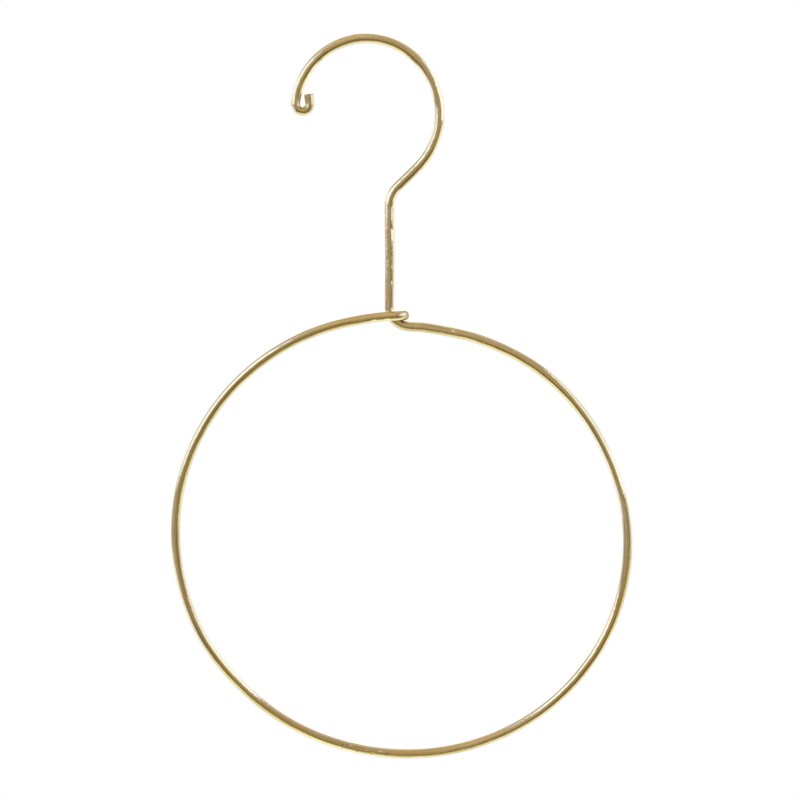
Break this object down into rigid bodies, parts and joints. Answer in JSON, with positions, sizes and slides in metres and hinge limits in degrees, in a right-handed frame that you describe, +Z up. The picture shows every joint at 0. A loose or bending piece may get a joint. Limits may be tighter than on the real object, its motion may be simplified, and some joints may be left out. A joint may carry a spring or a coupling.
{
  "type": "wreath frame",
  "caption": "Hanging wreath frame bent from one polished gold-coloured wire: an open hook, a straight stem and a round hoop whose end hooks round the stem's foot.",
  "frame": {"origin": "the hook's seat: the inside of the hook's bow at its highest point, on the wire's centre plane, where the frame hangs on a rail or nail", "axes": "+Z up along the stem, +X to the right seen from the front, the hook's mouth and tip on the -X side; the hoop lies in the XZ plane and its front faces -Y"},
  "size_m": [0.2001, 0.0126, 0.3144],
  "materials": {
    "plated_wire": "bright polished plating"
  },
  "bodies": {
    "hanger": {"tip_curl": "plated_wire", "hook_bow": "plated_wire", "neck_bend": "plated_wire", "stem": "plated_wire", "foot_bend": "plated_wire", "ring_upper_right": "plated_wire", "ring_lower_right": "plated_wire"},
    "sprung_side": {"ring_lower_left": "plated_wire", "ring_upper_left": "plated_wire", "catch": "plated_wire"}
  },
  "joints": [
    {"name": "hoop_spring", "type": "hinge", "parent": "hanger", "child": "sprung_side", "pos_m": [0.01648, 0, -0.30837], "axis": [0, 1, 0], "range_deg": [0, 3], "stiffness_Nm_per_rad": 11}
  ]
}
